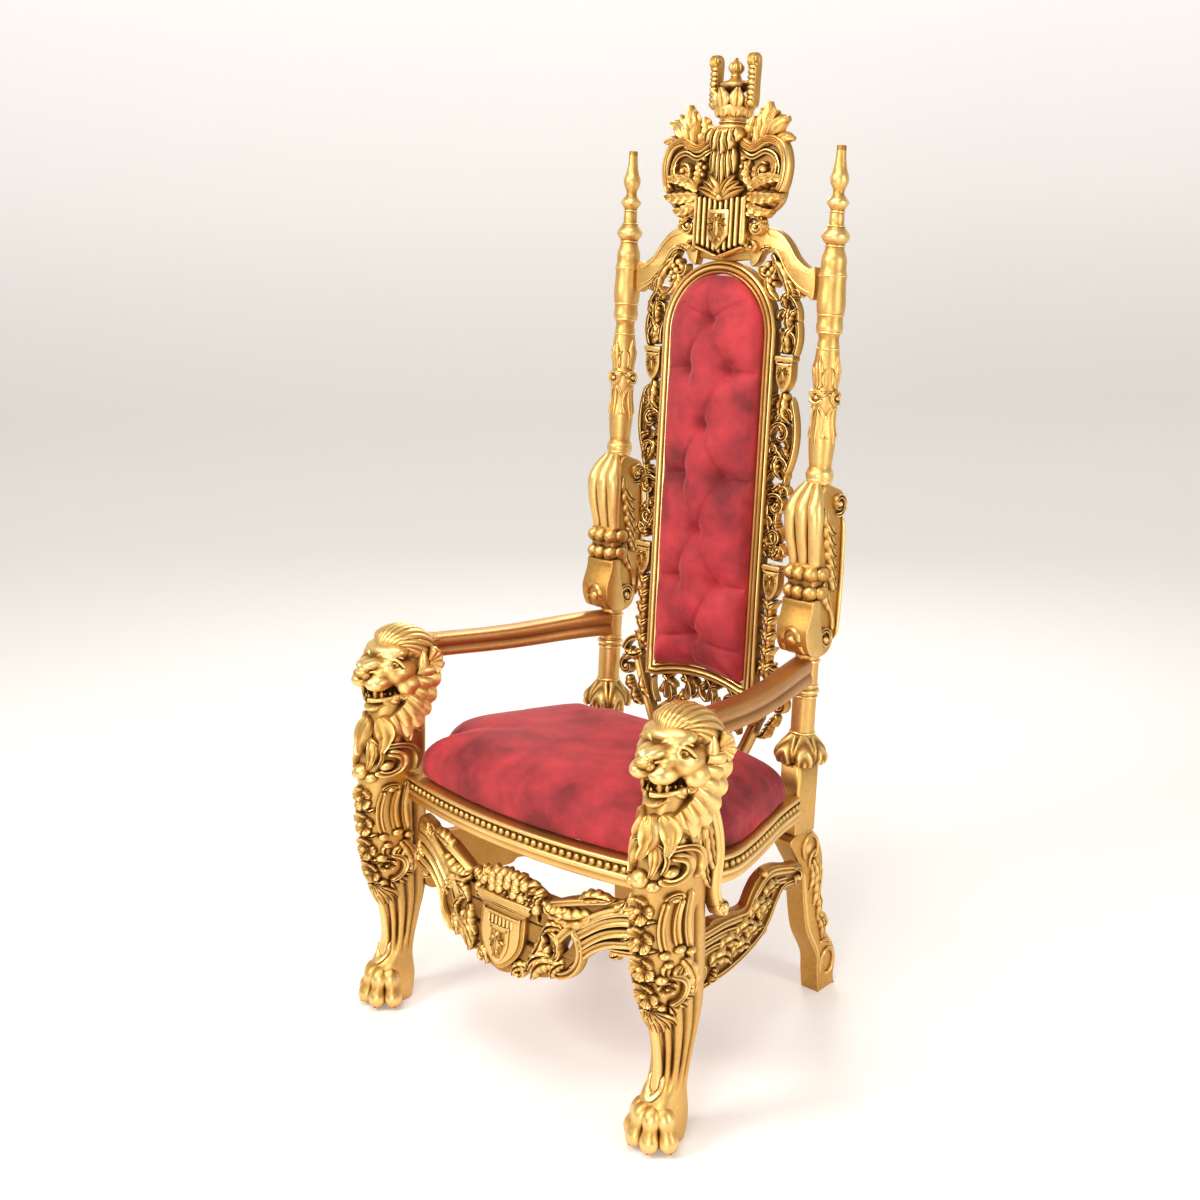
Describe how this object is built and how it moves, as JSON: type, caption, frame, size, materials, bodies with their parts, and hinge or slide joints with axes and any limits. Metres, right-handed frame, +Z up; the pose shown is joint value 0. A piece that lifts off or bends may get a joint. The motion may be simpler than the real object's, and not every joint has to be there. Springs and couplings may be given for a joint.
{
  "type": "throne",
  "caption": "High-backed carved and gilded throne with lion-headed front legs, open arms, velvet seat and buttoned velvet back under a crowned crest.",
  "frame": {"origin": "on the floor, under the middle of the whole throne", "axes": "+Z up, the sitter faces -Y, +X to the right as seen from the front"},
  "size_m": [0.8776, 0.7785, 1.8418],
  "materials": {
    "gilt": "gold leaf over carved wood, burnished",
    "gilt_brown": "gold glaze, rubbed brown on the arms",
    "velvet": "red cut velvet"
  },
  "bodies": {
    "root": {"front_leg_right": "gilt", "side_rail_right": "gilt", "side_stretcher_right": "gilt", "rear_leg_right": "gilt", "post_right": "gilt", "console_right": "gilt", "pole_right": "gilt", "arm_right": "gilt_brown", "front_leg_left": "gilt", "side_rail_left": "gilt", "side_stretcher_left": "gilt", "rear_leg_left": "gilt", "post_left": "gilt", "console_left": "gilt", "pole_left": "gilt", "arm_left": "gilt_brown", "front_rail": "gilt", "front_stretcher": "gilt", "back_rail": "gilt", "back_frame": "gilt", "top_rail": "gilt", "crest": "gilt", "crown_finial": "gilt", "seat_cushion": "velvet", "back_cushion": "velvet"}
  },
  "joints": []
}
